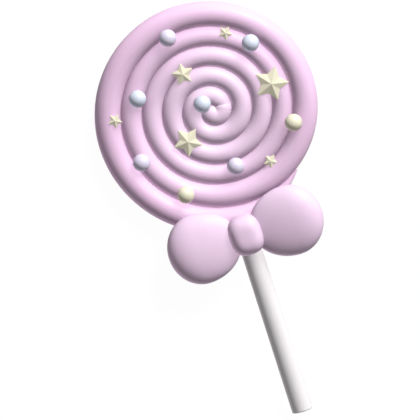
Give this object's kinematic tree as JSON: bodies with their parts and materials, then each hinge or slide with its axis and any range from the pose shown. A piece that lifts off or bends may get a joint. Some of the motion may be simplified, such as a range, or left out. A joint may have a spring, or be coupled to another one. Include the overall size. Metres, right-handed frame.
{
  "type": "swirl lollipop",
  "caption": "Swirl lollipop: a coiled sugar rope disc on a stick, with sugar pearls, faceted stars and a moulded bow, lying on its back.",
  "frame": {"origin": "middle of the coil, on the surface that the lollipop lies on", "axes": "+Z out of the decorated front, +Y along the stick from its free end towards the disc, +X to the right as seen from the front"},
  "size_m": [0.0901, 0.1713, 0.0185],
  "materials": {
    "rope_candy": "satin sugar, pale pink",
    "bow_candy": "satin moulded sugar, pink",
    "pearl_blue": "satin sugar pearl, pale blue",
    "pearl_lilac": "satin sugar pearl, pale lilac",
    "pearl_cream": "satin sugar pearl, cream",
    "star_sugar": "matte pressed sugar, cream",
    "stick_paper": "smooth rolled paper, white"
  },
  "bodies": {
    "root": {"swirl": "rope_candy", "bow_lobe_left": "bow_candy", "bow_lobe_right": "bow_candy", "bow_knot": "bow_candy", "stick": "stick_paper", "pearl_upper_left": "pearl_lilac", "pearl_upper_right": "pearl_blue", "pearl_left": "pearl_blue", "pearl_centre": "pearl_blue", "pearl_lower_left": "pearl_lilac", "pearl_lower": "pearl_lilac", "pearl_right": "pearl_cream", "pearl_bottom": "pearl_cream", "star_large": "star_sugar", "star_medium": "star_sugar", "star_small": "star_sugar", "star_tiny_top": "star_sugar", "star_tiny_left": "star_sugar", "star_tiny_bottom": "star_sugar"}
  },
  "joints": []
}
